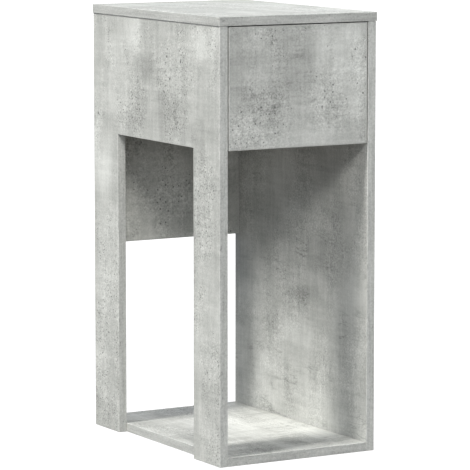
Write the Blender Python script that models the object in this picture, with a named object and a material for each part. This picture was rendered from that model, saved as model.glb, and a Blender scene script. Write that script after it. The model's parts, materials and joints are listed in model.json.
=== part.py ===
"""Narrow side table with one drawer, built from melamine-faced boards.

Five boards make the carcass: a top, a left side with a cut-out that leaves two legs,
a full right side, a back panel behind the upper part only, and a shelf on the floor.
A board-fronted drawer runs on two pairs of steel roller runners under the top.
Cam fittings, dowels and screws hold the boards together.

Units are metres. +X is to the right of someone facing the drawer, +Y is to the back,
+Z is up, and the origin is on the floor under the middle of the top.
"""

import math

import bmesh
import bpy
from mathutils import Matrix, Vector

# Overall size and boards
OVERALL_WIDTH = 0.300
OVERALL_DEPTH = 0.440
OVERALL_HEIGHT = 0.735
BOARD = 0.015
TOP_SIDE_OVERHANG = 0.0015
TOP_FRONT_OVERHANG = 0.001
LEG_WIDTH = 0.0875
BACK_PANEL_HEIGHT = 0.399
APRON_DROP = 0.0012
JOINT_GAP = 0.0003

# Drawer
DRAWER_FRONT_HEIGHT = 0.200
DRAWER_SIDE_GAP = 0.002
DRAWER_TOP_GAP = 0.0018
DRAWER_BOARD = 0.015
DRAWER_SIDE_HEIGHT = 0.140
DRAWER_BOX_LIFT = 0.016
DRAWER_REAR_CLEARANCE = 0.009
DRAWER_BOTTOM = 0.003
GROOVE_DEPTH = 0.005
GROOVE_HEIGHT_ABOVE_EDGE = 0.010

# Runners and rollers
RUNNER_SPACE = 0.0125
STEEL = 0.0012
FLANGE_CLEARANCE = 0.0012
DRAWER_RUNNER_FOOT = 0.010
FOOT_PLAY = 0.0008
LIP_PLAY = 0.0006
LIP_INSET = 0.003
RUNNER_FRONT_SETBACK = 0.002
ROLLER_RADIUS = 0.008
ROLLER_PLAY = 0.0005
ROLLER_END_DISTANCE = 0.004
ROLLER_SIDE_PLAY = 0.0014
PIN_HEAD_CLEARANCE = 0.0010
PIN_RADIUS = 0.002
PIN_HEAD_RADIUS = 0.003
PIN_HEAD = 0.0008

# Fittings
CAM_RADIUS = 0.0074
CAM_FLOOR = 0.0035
CAM_SETBACK = 0.024
CAM_SLOT = 0.0074
BOLT_RADIUS = 0.003
BOLT_NECK_RADIUS = 0.0018
BOLT_HEAD = 0.003
BOLT_THREAD = 0.010
BOLT_CLEARANCE = 0.0005
DOWEL_RADIUS = 0.004
DOWEL_IN_END = 0.019
DOWEL_IN_FACE = 0.010
SCREW_RADIUS = 0.0015
SCREW_HEAD_RADIUS = 0.0025
SCREW_HEAD = 0.0006
RUNNER_SCREW_LENGTH = 0.010
BACK_SCREW_LENGTH = 0.035
FITTING_INSET = 0.030
DOWEL_SPACING = 0.032
BACK_CAM_DROP = 0.060
BACK_DOWEL_RISE = 0.060
RUNNER_SCREW_INSET = 0.060

ROUND_SIDES = 24
SMALL_ROUND_SIDES = 16

# Levels and planes that follow from the sizes above
TOP_UNDERSIDE = OVERALL_HEIGHT - BOARD
PANEL_TOP = TOP_UNDERSIDE - JOINT_GAP
SIDE_OUTER_X = OVERALL_WIDTH / 2 - TOP_SIDE_OVERHANG
SIDE_INNER_X = SIDE_OUTER_X - BOARD
FRONT_Y = -OVERALL_DEPTH / 2 + TOP_FRONT_OVERHANG
BACK_Y = OVERALL_DEPTH / 2
SHELF_HALF_WIDTH = SIDE_INNER_X - JOINT_GAP
BACK_PANEL_BOTTOM = PANEL_TOP - BACK_PANEL_HEIGHT

DRAWER_FRONT_TOP = TOP_UNDERSIDE - DRAWER_TOP_GAP
DRAWER_FRONT_BOTTOM = DRAWER_FRONT_TOP - DRAWER_FRONT_HEIGHT
CUTOUT_TOP = DRAWER_FRONT_BOTTOM - APRON_DROP
BOX_OUTER_X = SIDE_INNER_X - RUNNER_SPACE
BOX_INNER_X = BOX_OUTER_X - DRAWER_BOARD
BOX_BOTTOM_Z = DRAWER_FRONT_BOTTOM + DRAWER_BOX_LIFT
BOX_TOP_Z = BOX_BOTTOM_Z + DRAWER_SIDE_HEIGHT
BOX_FRONT_Y = FRONT_Y + BOARD + JOINT_GAP
BOX_BACK_Y = BACK_Y - BOARD - DRAWER_REAR_CLEARANCE
GROOVE_Z = BOX_BOTTOM_Z + GROOVE_HEIGHT_ABOVE_EDGE
GROOVE_TOP_Z = GROOVE_Z + DRAWER_BOTTOM + 2 * JOINT_GAP

# Distances from the side panel's inner face, towards the drawer
WEB = JOINT_GAP + STEEL
WALL_INNER = RUNNER_SPACE - JOINT_GAP
WALL_OUTER = WALL_INNER - STEEL
FLANGE_END = WALL_OUTER - FLANGE_CLEARANCE
ROLLER_ROOM = WALL_OUTER - WEB
ROLLER_WIDTH = ROLLER_ROOM - ROLLER_SIDE_PLAY - JOINT_GAP - PIN_HEAD - PIN_HEAD_CLEARANCE

FOOT_Z = STEEL + FOOT_PLAY
RUNNER_Z = BOX_BOTTOM_Z - JOINT_GAP - STEEL - FOOT_Z
CABINET_ROLLER_Z = RUNNER_Z + STEEL + ROLLER_PLAY + ROLLER_RADIUS
DRAWER_ROLLER_Z = RUNNER_Z + STEEL + JOINT_GAP + ROLLER_RADIUS
LIP_Z = CABINET_ROLLER_Z + ROLLER_RADIUS + JOINT_GAP
TOP_FLANGE_Z = LIP_Z + STEEL + LIP_PLAY
RUNNER_FRONT_Y = FRONT_Y + BOARD + RUNNER_FRONT_SETBACK
RUNNER_SCREW_Z = DRAWER_ROLLER_Z + PIN_HEAD_RADIUS + SCREW_HEAD_RADIUS + 2 * JOINT_GAP


def clear_scene():
    for old in list(bpy.data.objects):
        bpy.data.objects.remove(old, do_unlink=True)


def make_material(name, colour, roughness, metallic=0.0):
    material = bpy.data.materials.new(name)
    material.use_nodes = True
    shader = material.node_tree.nodes["Principled BSDF"]
    shader.inputs["Base Color"].default_value = (*colour, 1.0)
    shader.inputs["Roughness"].default_value = roughness
    shader.inputs["Metallic"].default_value = metallic
    return material


def add_object(name, mesh, parent=None):
    piece = bpy.data.objects.new(name, mesh)
    bpy.context.scene.collection.objects.link(piece)
    piece.parent = parent
    return piece


def mesh_from(bm, name, material):
    mesh = bpy.data.meshes.new(name)
    bm.to_mesh(mesh)
    bm.free()
    if material:
        mesh.materials.append(material)
    return mesh


def shade_round(mesh):
    mesh.shade_smooth()
    mesh.set_sharp_from_angle(angle=math.radians(40))


def add_box(name, low, high, material, parent=None):
    """A board or block between two corners, with its origin at its middle."""
    low = Vector(low)
    high = Vector(high)
    bm = bmesh.new()
    bmesh.ops.create_cube(bm, size=1.0)
    bmesh.ops.scale(bm, vec=high - low, verts=bm.verts)
    piece = add_object(name, mesh_from(bm, name, material), parent)
    piece.location = (low + high) / 2
    return piece


def turned_mesh(name, profile, sides, material):
    """A solid turned about +Z from (radius, height) points that start and end on the axis."""
    bm = bmesh.new()
    points = [bm.verts.new((radius, 0.0, height)) for radius, height in profile]
    edges = [bm.edges.new(pair) for pair in zip(points, points[1:])]
    bmesh.ops.spin(bm, geom=points + edges, cent=(0, 0, 0), axis=(0, 0, 1),
                   angle=math.tau, steps=sides, use_merge=True)
    bmesh.ops.remove_doubles(bm, verts=bm.verts, dist=1e-6)
    bmesh.ops.recalc_face_normals(bm, faces=bm.faces)
    mesh = mesh_from(bm, name, material)
    shade_round(mesh)
    return mesh


def aim(piece, start, z_direction, x_direction=None):
    """Puts a piece's origin at start, with its own +Z along z_direction."""
    z_axis = Vector(z_direction).normalized()
    if x_direction is None:
        x_axis = z_axis.orthogonal().normalized()
    else:
        x_axis = Vector(x_direction).normalized()
    y_axis = z_axis.cross(x_axis)
    turn = Matrix((x_axis, y_axis, z_axis)).transposed()
    piece.location = start
    piece.rotation_euler = turn.to_euler()


def cut(board, cutter):
    cutter.hide_render = True
    cutter.display_type = "WIRE"
    cutter.parent = board.parent
    difference = board.modifiers.new("cut " + cutter.name, "BOOLEAN")
    difference.operation = "DIFFERENCE"
    difference.solver = "EXACT"
    difference.object = cutter


def bore(board, mouth, direction, radius, depth):
    """Drills a flat-bottomed round hole into a board from a point on its surface."""
    run_out = BOARD / 2
    profile = [(0, -run_out), (radius, -run_out), (radius, depth), (0, depth)]
    drill = add_object(board.name + " bore", turned_mesh("bore", profile, SMALL_ROUND_SIDES, None))
    aim(drill, mouth, direction)
    cut(board, drill)


def groove(board, low, high):
    cut(board, add_box(board.name + " groove", low, high, None))


def cam_shapes(thickness):
    """A cam for a board of some thickness, and the slot that lets the bolt's head in."""
    depth = thickness - CAM_FLOOR
    profile = [(0, 0), (CAM_RADIUS, 0), (CAM_RADIUS, depth), (0, depth)]
    housing = turned_mesh("cam", profile, ROUND_SIDES, CAM_ZINC)
    bm = bmesh.new()
    bmesh.ops.create_cube(bm, size=1.0)
    bmesh.ops.scale(bm, vec=(2 * CAM_RADIUS, CAM_SLOT, CAM_SLOT), verts=bm.verts)
    to_middle = (CAM_RADIUS - CAM_SLOT / 2, 0, thickness / 2)
    bmesh.ops.translate(bm, vec=to_middle, verts=bm.verts)
    return housing, mesh_from(bm, "cam slot", None)


def cam_joint(label, thickness, boards, face_point, face, towards, parent=None):
    """A cam housing in one board's face and the bolt that it draws from the other board.

    boards are the one that holds the cam, of the thickness given, and the one that holds
    the bolt. face_point is the middle of the cam on its board's face, face points out of
    that face, and towards points from the cam to the other board.
    """
    housing_board, bolted_board = boards
    face = Vector(face)
    towards = Vector(towards)
    face_point = Vector(face_point)
    middle = face_point - face * thickness / 2
    joint = middle + towards * CAM_SETBACK
    cam_depth = thickness - CAM_FLOOR

    bore(housing_board, face_point, -face, CAM_RADIUS + JOINT_GAP, cam_depth + JOINT_GAP)
    passage = CAM_SETBACK - CAM_RADIUS / 2
    bore(housing_board, joint, -towards, BOLT_RADIUS + BOLT_CLEARANCE, passage)
    bore(bolted_board, joint, towards, BOLT_RADIUS + JOINT_GAP, BOLT_THREAD + 2 * JOINT_GAP)

    cam_mesh, slot_mesh = cam_shapes(thickness)
    housing = add_object(label.replace("JOINT", "cam"), cam_mesh, parent)
    aim(housing, face_point, -face, towards)
    slot = add_object(label + " cam slot", slot_mesh)
    aim(slot, face_point, -face, towards)
    cut(housing, slot)

    bolt = add_object(label.replace("JOINT", "bolt"), BOLT_MESH, parent)
    aim(bolt, joint, towards)


def dowel_joint(name, end_board, face_board, joint, towards):
    """A wooden dowel, deep in one board's end and shallow in the other board's face."""
    joint = Vector(joint)
    towards = Vector(towards)
    bore(end_board, joint, -towards, DOWEL_RADIUS + JOINT_GAP, DOWEL_IN_END + JOINT_GAP)
    bore(face_board, joint, towards, DOWEL_RADIUS + JOINT_GAP, DOWEL_IN_FACE + 2 * JOINT_GAP)
    aim(add_object(name, DOWEL_MESH), joint, towards)


def screw_mesh(length, passage):
    """A flat-headed screw along +Z whose head stands on the plane of its origin."""
    tip = passage + length
    profile = [
        (0, -SCREW_HEAD - JOINT_GAP),
        (SCREW_HEAD_RADIUS, -SCREW_HEAD - JOINT_GAP),
        (SCREW_HEAD_RADIUS, -JOINT_GAP),
        (SCREW_RADIUS, -JOINT_GAP),
        (SCREW_RADIUS, tip - SCREW_RADIUS),
        (0, tip),
    ]
    return turned_mesh("screw", profile, SMALL_ROUND_SIDES, STEEL_ZINC)


def extrude_outline(name, outline, start_y, end_y, material, parent=None):
    """A rolled section: an outline of (x, z) points drawn out along Y."""
    bm = bmesh.new()
    loop = [bm.verts.new((x, start_y, z)) for x, z in outline]
    end = bm.faces.new(loop)
    drawn = bmesh.ops.extrude_face_region(bm, geom=[end])
    moved = [item for item in drawn["geom"] if isinstance(item, bmesh.types.BMVert)]
    bmesh.ops.translate(bm, vec=(0, end_y - start_y, 0), verts=moved)
    bmesh.ops.recalc_face_normals(bm, faces=bm.faces)
    return add_object(name, mesh_from(bm, name, material), parent)


clear_scene()

CONCRETE_MELAMINE = make_material("concrete melamine", (0.46, 0.46, 0.44), 0.6)
DRAWER_MELAMINE = make_material("drawer box melamine", (0.50, 0.50, 0.48), 0.6)
HARDBOARD = make_material("drawer bottom hardboard", (0.62, 0.61, 0.58), 0.7)
STEEL_WHITE = make_material("white coated steel", (0.78, 0.78, 0.77), 0.4)
STEEL_ZINC = make_material("zinc plated steel", (0.62, 0.62, 0.60), 0.35, 1.0)
CAM_ZINC = make_material("cast zinc", (0.50, 0.50, 0.50), 0.4, 1.0)
NYLON = make_material("white nylon", (0.80, 0.80, 0.78), 0.45)
BEECH = make_material("beech", (0.58, 0.42, 0.25), 0.7)

BOLT_MESH = turned_mesh(
    "bolt",
    [
        (0, -CAM_SETBACK - BOLT_HEAD / 2),
        (BOLT_RADIUS, -CAM_SETBACK - BOLT_HEAD / 2),
        (BOLT_RADIUS, -CAM_SETBACK + BOLT_HEAD / 2),
        (BOLT_NECK_RADIUS, -CAM_SETBACK + BOLT_HEAD),
        (BOLT_NECK_RADIUS, -CAM_SETBACK + CAM_RADIUS),
        (BOLT_RADIUS, -CAM_SETBACK + CAM_RADIUS + BOLT_HEAD / 2),
        (BOLT_RADIUS, BOLT_THREAD - BOLT_RADIUS / 2),
        (BOLT_NECK_RADIUS, BOLT_THREAD),
        (0, BOLT_THREAD),
    ],
    SMALL_ROUND_SIDES,
    STEEL_ZINC,
)
DOWEL_MESH = turned_mesh(
    "dowel",
    [
        (0, -DOWEL_IN_END),
        (DOWEL_RADIUS * 0.75, -DOWEL_IN_END),
        (DOWEL_RADIUS, -DOWEL_IN_END + DOWEL_RADIUS * 0.25),
        (DOWEL_RADIUS, DOWEL_IN_FACE - DOWEL_RADIUS * 0.25),
        (DOWEL_RADIUS * 0.75, DOWEL_IN_FACE),
        (0, DOWEL_IN_FACE),
    ],
    SMALL_ROUND_SIDES,
    BEECH,
)
drawer_runs = bpy.data.objects.new("drawer runs", None)
bpy.context.scene.collection.objects.link(drawer_runs)

# Carcass boards
top_panel = add_box(
    "top_panel",
    (-OVERALL_WIDTH / 2, -OVERALL_DEPTH / 2, TOP_UNDERSIDE),
    (OVERALL_WIDTH / 2, OVERALL_DEPTH / 2, OVERALL_HEIGHT),
    CONCRETE_MELAMINE,
)
left_side = add_box(
    "left_side_panel",
    (-SIDE_OUTER_X, FRONT_Y, 0),
    (-SIDE_INNER_X, BACK_Y, PANEL_TOP),
    CONCRETE_MELAMINE,
)
groove(
    left_side,
    (-SIDE_OUTER_X - BOARD, FRONT_Y + LEG_WIDTH, -BOARD),
    (-SIDE_INNER_X + BOARD, BACK_Y - LEG_WIDTH, CUTOUT_TOP),
)
right_side = add_box(
    "right_side_panel",
    (SIDE_INNER_X, FRONT_Y, 0),
    (SIDE_OUTER_X, BACK_Y, PANEL_TOP),
    CONCRETE_MELAMINE,
)
back_panel = add_box(
    "back_panel",
    (-SHELF_HALF_WIDTH, BACK_Y - BOARD, BACK_PANEL_BOTTOM),
    (SHELF_HALF_WIDTH, BACK_Y, PANEL_TOP),
    CONCRETE_MELAMINE,
)
bottom_shelf = add_box(
    "bottom_shelf",
    (-SHELF_HALF_WIDTH, FRONT_Y, 0),
    (SHELF_HALF_WIDTH, BACK_Y, BOARD),
    CONCRETE_MELAMINE,
)

# Drawer boards, which slide together
drawer_front = add_box(
    "drawer_front",
    (-SIDE_INNER_X + DRAWER_SIDE_GAP, FRONT_Y, DRAWER_FRONT_BOTTOM),
    (SIDE_INNER_X - DRAWER_SIDE_GAP, FRONT_Y + BOARD, DRAWER_FRONT_TOP),
    CONCRETE_MELAMINE,
    drawer_runs,
)
drawer_back = add_box(
    "drawer_back",
    (-BOX_INNER_X + JOINT_GAP, BOX_BACK_Y - DRAWER_BOARD, BOX_BOTTOM_Z),
    (BOX_INNER_X - JOINT_GAP, BOX_BACK_Y, BOX_TOP_Z),
    DRAWER_MELAMINE,
    drawer_runs,
)
drawer_bottom = add_box(
    "drawer_bottom",
    (
        -BOX_INNER_X - GROOVE_DEPTH + JOINT_GAP,
        FRONT_Y + BOARD - GROOVE_DEPTH + JOINT_GAP,
        GROOVE_Z + JOINT_GAP,
    ),
    (
        BOX_INNER_X + GROOVE_DEPTH - JOINT_GAP,
        BOX_BACK_Y - DRAWER_BOARD + GROOVE_DEPTH - JOINT_GAP,
        GROOVE_TOP_Z - JOINT_GAP,
    ),
    HARDBOARD,
    drawer_runs,
)
groove(
    drawer_front,
    (-BOX_INNER_X - GROOVE_DEPTH, FRONT_Y + BOARD - GROOVE_DEPTH, GROOVE_Z),
    (BOX_INNER_X + GROOVE_DEPTH, FRONT_Y + 2 * BOARD, GROOVE_TOP_Z),
)
groove(
    drawer_back,
    (-BOX_OUTER_X, BOX_BACK_Y - 2 * DRAWER_BOARD, GROOVE_Z),
    (BOX_OUTER_X, BOX_BACK_Y - DRAWER_BOARD + GROOVE_DEPTH, GROOVE_TOP_Z),
)

# Each side's fittings and runners; side is -1 on the left and +1 on the right
for side, hand, side_panel in ((-1, "left", left_side), (1, "right", right_side)):
    inwards = (-side, 0, 0)
    outwards = (side, 0, 0)
    middle_x = side * (SIDE_INNER_X + BOARD / 2)

    for end, y, to_middle in (
        ("front", FRONT_Y + FITTING_INSET, 1),
        ("rear", BACK_Y - FITTING_INSET, -1),
    ):
        cam_joint(
            "top_JOINT_%s_%s" % (hand, end),
            BOARD,
            (side_panel, top_panel),
            (side * SIDE_INNER_X, y, TOP_UNDERSIDE - CAM_SETBACK),
            inwards,
            (0, 0, 1),
        )
        cam_joint(
            "shelf_JOINT_%s_%s" % (hand, end),
            BOARD,
            (bottom_shelf, side_panel),
            (side * (SIDE_INNER_X - CAM_SETBACK), y, 0),
            (0, 0, -1),
            outwards,
        )
        dowel_joint(
            "top_dowel_%s_%s" % (hand, end),
            side_panel,
            top_panel,
            (middle_x, y + to_middle * DOWEL_SPACING, TOP_UNDERSIDE),
            (0, 0, 1),
        )

    cam_joint(
        "back_JOINT_%s" % hand,
        BOARD,
        (back_panel, side_panel),
        (side * (SIDE_INNER_X - CAM_SETBACK), BACK_Y, PANEL_TOP - BACK_CAM_DROP),
        (0, 1, 0),
        outwards,
    )
    dowel_joint(
        "back_dowel_%s" % hand,
        back_panel,
        side_panel,
        (side * SIDE_INNER_X, BACK_Y - BOARD / 2, BACK_PANEL_BOTTOM + BACK_DOWEL_RISE),
        outwards,
    )

    # Drawer side, grooved for the bottom and pulled up to the front by its cam
    near_x = side * BOX_INNER_X
    far_x = side * BOX_OUTER_X
    drawer_side = add_box(
        "drawer_%s_side" % hand,
        (min(near_x, far_x), BOX_FRONT_Y, BOX_BOTTOM_Z),
        (max(near_x, far_x), BOX_BACK_Y, BOX_TOP_Z),
        DRAWER_MELAMINE,
        drawer_runs,
    )
    groove_x = side * (BOX_INNER_X + GROOVE_DEPTH)
    inner_run_out = side * (BOX_INNER_X - DRAWER_BOARD)
    groove(
        drawer_side,
        (min(groove_x, inner_run_out), BOX_FRONT_Y - BOARD, GROOVE_Z),
        (max(groove_x, inner_run_out), BOX_BACK_Y + BOARD, GROOVE_TOP_Z),
    )
    cam_joint(
        "drawer_JOINT_%s" % hand,
        DRAWER_BOARD,
        (drawer_side, drawer_front),
        (near_x, FRONT_Y + BOARD + CAM_SETBACK, (GROOVE_TOP_Z + BOX_TOP_Z) / 2),
        inwards,
        (0, -1, 0),
        drawer_runs,
    )
    back_screw_point = Vector((far_x, BOX_BACK_Y - DRAWER_BOARD / 2, (GROOVE_TOP_Z + BOX_TOP_Z) / 2))
    back_screw = add_object(
        "drawer_back_screw_%s" % hand,
        screw_mesh(BACK_SCREW_LENGTH - DRAWER_BOARD, DRAWER_BOARD),
        drawer_runs,
    )
    aim(back_screw, back_screw_point, inwards)
    bore(drawer_side, back_screw_point, inwards, SCREW_RADIUS + JOINT_GAP, 2 * DRAWER_BOARD)
    bore(
        drawer_back,
        (side * (BOX_INNER_X - JOINT_GAP), back_screw_point.y, back_screw_point.z),
        inwards,
        SCREW_RADIUS + JOINT_GAP,
        BACK_SCREW_LENGTH - DRAWER_BOARD,
    )

    # Runner fixed to the cabinet: a channel that is open towards the drawer
    def across(distance):
        """An x at a distance from the side panel's inner face, towards the drawer."""
        return side * (SIDE_INNER_X - distance)

    cabinet_runner = extrude_outline(
        "%s_cabinet_runner" % hand,
        [
            (across(JOINT_GAP), RUNNER_Z),
            (across(FLANGE_END), RUNNER_Z),
            (across(FLANGE_END), RUNNER_Z + STEEL),
            (across(WEB), RUNNER_Z + STEEL),
            (across(WEB), TOP_FLANGE_Z),
            (across(FLANGE_END), TOP_FLANGE_Z),
            (across(FLANGE_END), TOP_FLANGE_Z + STEEL),
            (across(JOINT_GAP), TOP_FLANGE_Z + STEEL),
        ],
        RUNNER_FRONT_Y,
        BOX_BACK_Y,
        STEEL_WHITE,
    )

    # Runner fixed to the drawer: a foot under the side, a wall, and the lip that is carried
    foot_end = WALL_INNER + DRAWER_RUNNER_FOOT
    foot_bottom = RUNNER_Z + FOOT_Z
    foot_top = foot_bottom + STEEL
    drawer_runner = extrude_outline(
        "%s_drawer_runner" % hand,
        [
            (across(LIP_INSET), LIP_Z),
            (across(WALL_OUTER), LIP_Z),
            (across(WALL_OUTER), foot_bottom),
            (across(foot_end), foot_bottom),
            (across(foot_end), foot_top),
            (across(WALL_INNER), foot_top),
            (across(WALL_INNER), LIP_Z + STEEL),
            (across(LIP_INSET), LIP_Z + STEEL),
        ],
        BOX_FRONT_Y,
        BOX_BACK_Y,
        STEEL_WHITE,
        drawer_runs,
    )

    # Rollers: one at the cabinet runner's front, one at the drawer runner's rear
    cabinet_roller_start = WEB + ROLLER_PLAY
    drawer_roller_start = WALL_OUTER - ROLLER_SIDE_PLAY
    for carrier, runner, parent, start, y, z, facing in (
        (
            "cabinet",
            cabinet_runner,
            None,
            cabinet_roller_start,
            RUNNER_FRONT_Y + ROLLER_END_DISTANCE + ROLLER_RADIUS,
            CABINET_ROLLER_Z,
            1,
        ),
        (
            "drawer",
            drawer_runner,
            drawer_runs,
            drawer_roller_start,
            BOX_BACK_Y - ROLLER_END_DISTANCE - ROLLER_RADIUS,
            DRAWER_ROLLER_Z,
            -1,
        ),
    ):
        away = (-side * facing, 0, 0)
        hole_radius = PIN_RADIUS + JOINT_GAP
        roller = add_object(
            "%s_%s_roller" % (hand, carrier),
            turned_mesh(
                "roller",
                [
                    (hole_radius, 0),
                    (ROLLER_RADIUS, 0),
                    (ROLLER_RADIUS, ROLLER_WIDTH),
                    (hole_radius, ROLLER_WIDTH),
                    (hole_radius, 0),
                ],
                ROUND_SIDES,
                NYLON,
            ),
            parent,
        )
        aim(roller, (across(start), y, z), away)

        if carrier == "cabinet":
            shaft_start = JOINT_GAP - start
        else:
            shaft_start = start - WALL_INNER
        head_start = ROLLER_WIDTH + JOINT_GAP
        pin = add_object(
            "%s_%s_roller_pin" % (hand, carrier),
            turned_mesh(
                "roller pin",
                [
                    (0, shaft_start),
                    (PIN_RADIUS, shaft_start),
                    (PIN_RADIUS, head_start),
                    (PIN_HEAD_RADIUS, head_start),
                    (PIN_HEAD_RADIUS, head_start + PIN_HEAD),
                    (0, head_start + PIN_HEAD),
                ],
                SMALL_ROUND_SIDES,
                STEEL_ZINC,
            ),
            parent,
        )
        aim(pin, (across(start), y, z), away)
        bore(runner, (across(start), y, z), (side * facing, 0, 0), hole_radius, BOARD)

    # Screws that hold the two runners
    for end, y in (
        ("front", RUNNER_FRONT_Y + RUNNER_SCREW_INSET),
        ("rear", BOX_BACK_Y - RUNNER_SCREW_INSET),
    ):
        point = Vector((across(WEB), y, RUNNER_SCREW_Z))
        runner_screw = add_object(
            "%s_cabinet_runner_screw_%s" % (hand, end),
            screw_mesh(RUNNER_SCREW_LENGTH, WEB),
        )
        aim(runner_screw, point, outwards)
        bore(cabinet_runner, point, outwards, SCREW_RADIUS + JOINT_GAP, BOARD)
        bore(
            side_panel,
            (across(0), y, RUNNER_SCREW_Z),
            outwards,
            SCREW_RADIUS + JOINT_GAP,
            RUNNER_SCREW_LENGTH + JOINT_GAP,
        )

    point = Vector((across(WALL_OUTER), (RUNNER_FRONT_Y + BOX_BACK_Y) / 2, DRAWER_ROLLER_Z))
    drawer_screw = add_object(
        "%s_drawer_runner_screw" % hand,
        screw_mesh(RUNNER_SCREW_LENGTH, STEEL + JOINT_GAP),
        drawer_runs,
    )
    aim(drawer_screw, point, inwards)
    bore(drawer_runner, point, inwards, SCREW_RADIUS + JOINT_GAP, BOARD)
    bore(
        drawer_side,
        (far_x, point.y, point.z),
        inwards,
        SCREW_RADIUS + JOINT_GAP,
        RUNNER_SCREW_LENGTH + JOINT_GAP,
    )
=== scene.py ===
"""Concrete-look side table with a drawer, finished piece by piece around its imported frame."""

import json
import math

import bmesh
import bpy
from mathutils import Matrix, Vector

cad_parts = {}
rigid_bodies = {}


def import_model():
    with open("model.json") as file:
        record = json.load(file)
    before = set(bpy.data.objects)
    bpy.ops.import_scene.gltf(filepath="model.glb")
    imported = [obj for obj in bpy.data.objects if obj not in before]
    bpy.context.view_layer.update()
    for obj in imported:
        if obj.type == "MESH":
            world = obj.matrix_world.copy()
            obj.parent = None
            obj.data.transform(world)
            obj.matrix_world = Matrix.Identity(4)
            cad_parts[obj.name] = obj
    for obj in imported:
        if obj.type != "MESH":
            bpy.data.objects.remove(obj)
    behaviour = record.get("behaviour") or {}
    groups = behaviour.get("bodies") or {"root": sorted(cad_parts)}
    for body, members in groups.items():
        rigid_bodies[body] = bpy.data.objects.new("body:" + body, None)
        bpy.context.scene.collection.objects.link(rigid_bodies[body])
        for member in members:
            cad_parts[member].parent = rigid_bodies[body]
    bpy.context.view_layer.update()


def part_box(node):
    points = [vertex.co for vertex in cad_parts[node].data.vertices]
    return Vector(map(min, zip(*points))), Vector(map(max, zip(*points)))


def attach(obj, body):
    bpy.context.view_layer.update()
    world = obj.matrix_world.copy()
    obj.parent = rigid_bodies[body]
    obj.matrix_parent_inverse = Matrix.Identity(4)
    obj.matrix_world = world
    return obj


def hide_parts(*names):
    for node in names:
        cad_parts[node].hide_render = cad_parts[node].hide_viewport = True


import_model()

# ---------------- camera and studio
# A long lens looks down a little on the table from its front left corner. Four lights one
# above another make the tall light on the left, one more stands in front, and wide soft
# ones stand low on all four sides. The floor is white paper.

for old in list(bpy.data.objects):
    if old.type in {"CAMERA", "LIGHT"}:
        bpy.data.objects.remove(old, do_unlink=True)


def direction(turn, rise):
    """Unit vector towards a place seen at a turn from the front and a rise above the floor."""
    turn = math.radians(turn)
    rise = math.radians(rise)
    return Vector((math.sin(turn) * math.cos(rise), -math.cos(turn) * math.cos(rise), math.sin(rise)))


def stand(name, data, place, towards):
    """Puts a camera or a light at a place, looking back from a direction."""
    thing = bpy.data.objects.new(name, data)
    thing.location = place
    thing.rotation_mode = "QUATERNION"
    thing.rotation_quaternion = (-towards).to_track_quat("-Z", "Y")
    bpy.context.scene.collection.objects.link(thing)
    return thing


look_at = Vector((0.0061, 0.0, 0.3487))
camera_distance = 5.328
to_camera = direction(-29.96, 7.373)

camera_data = bpy.data.cameras.new("camera")
camera_data.sensor_width = 36.0
camera_data.lens = 239.85
camera_data.clip_end = 200.0
place = look_at + to_camera * camera_distance
bpy.context.scene.camera = stand("camera", camera_data, place, to_camera)
bpy.context.scene.view_settings.view_transform = "Standard"

LAMP_COLOUR = (1.0, 0.985, 0.955)
LIGHT_DISTANCE = 3


def soft_light(name, turn, rise, strength, softness):
    """A large, far light, given by where it stands and how wide it looks in degrees."""
    lamp = bpy.data.lights.new(name, "SUN")
    lamp.energy = strength
    lamp.color = LAMP_COLOUR
    lamp.angle = math.radians(softness)
    towards = direction(turn, rise)
    stand(name, lamp, towards * LIGHT_DISTANCE, towards)


for rise, strength in ((38, 0.72), (46, 0.82), (54, 0.96), (62, 1.20)):
    soft_light(f"tall left light {rise}", -85, rise, strength, 11)
soft_light("low left light", -80, 4, 0.20, 60)
soft_light("front light", -24, 34, 1.98, 16)
soft_light("low front light", -28, 6, 0.66, 60)
soft_light("rear light", 155, 8, 0.6, 40)
soft_light("right light", 88, 8, 0.8, 40)

studio = bpy.data.worlds.new("studio")
studio.use_nodes = True
air = studio.node_tree.nodes["Background"]
air.inputs["Color"].default_value = (0.72, 0.83, 1.0, 1.0)
air.inputs["Strength"].default_value = 0.38
bpy.context.scene.world = studio


def fill(tree, made, inputs):
    """Plugs sockets into a node's inputs, by name or number, and sets plain values."""
    for key, value in inputs.items():
        if isinstance(value, bpy.types.NodeSocket):
            tree.links.new(value, made.inputs[key])
        else:
            made.inputs[key].default_value = value
    return made


def node(tree, kind, inputs=None, **settings):
    """A new node with its settings, and its inputs filled."""
    made = tree.nodes.new(kind)
    for key, value in settings.items():
        setattr(made, key, value)
    return fill(tree, made, inputs or {})


FLOOR_REACH = 60.0
FLOOR_DROP = 0.0005
PAPER_GLOW = 0.88
bm = bmesh.new()
bmesh.ops.create_grid(bm, x_segments=1, y_segments=1, size=FLOOR_REACH)
bmesh.ops.translate(bm, vec=(0, 0, -FLOOR_DROP), verts=bm.verts)
floor_mesh = bpy.data.meshes.new("floor")
bm.to_mesh(floor_mesh)
bm.free()
floor_paper = bpy.data.materials.new("white paper")
floor_paper.use_nodes = True
paper_tree = floor_paper.node_tree
seen = node(paper_tree, "ShaderNodeLightPath").outputs["Is Camera Ray"]
glow = node(paper_tree, "ShaderNodeMath", {0: seen, 1: PAPER_GLOW}, operation="MULTIPLY")
paper_inputs = {
    "Base Color": (0.18, 0.18, 0.18, 1.0),
    "Roughness": 0.9,
    "Specular IOR Level": 0.1,
    "Emission Color": (1.0, 1.0, 1.0, 1.0),
    "Emission Strength": glow.outputs["Value"],
}
fill(paper_tree, paper_tree.nodes["Principled BSDF"], paper_inputs)
floor_mesh.materials.append(floor_paper)
floor = bpy.data.objects.new("floor", floor_mesh)
bpy.context.scene.collection.objects.link(floor)

# ---------------- top panel
# A 15 mm particle board faced with concrete-print melamine and banded on all four edges.
# It lies on the side panels, 1.5 mm proud of them outwards and 1 mm in front; cams pull
# it down.

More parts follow.
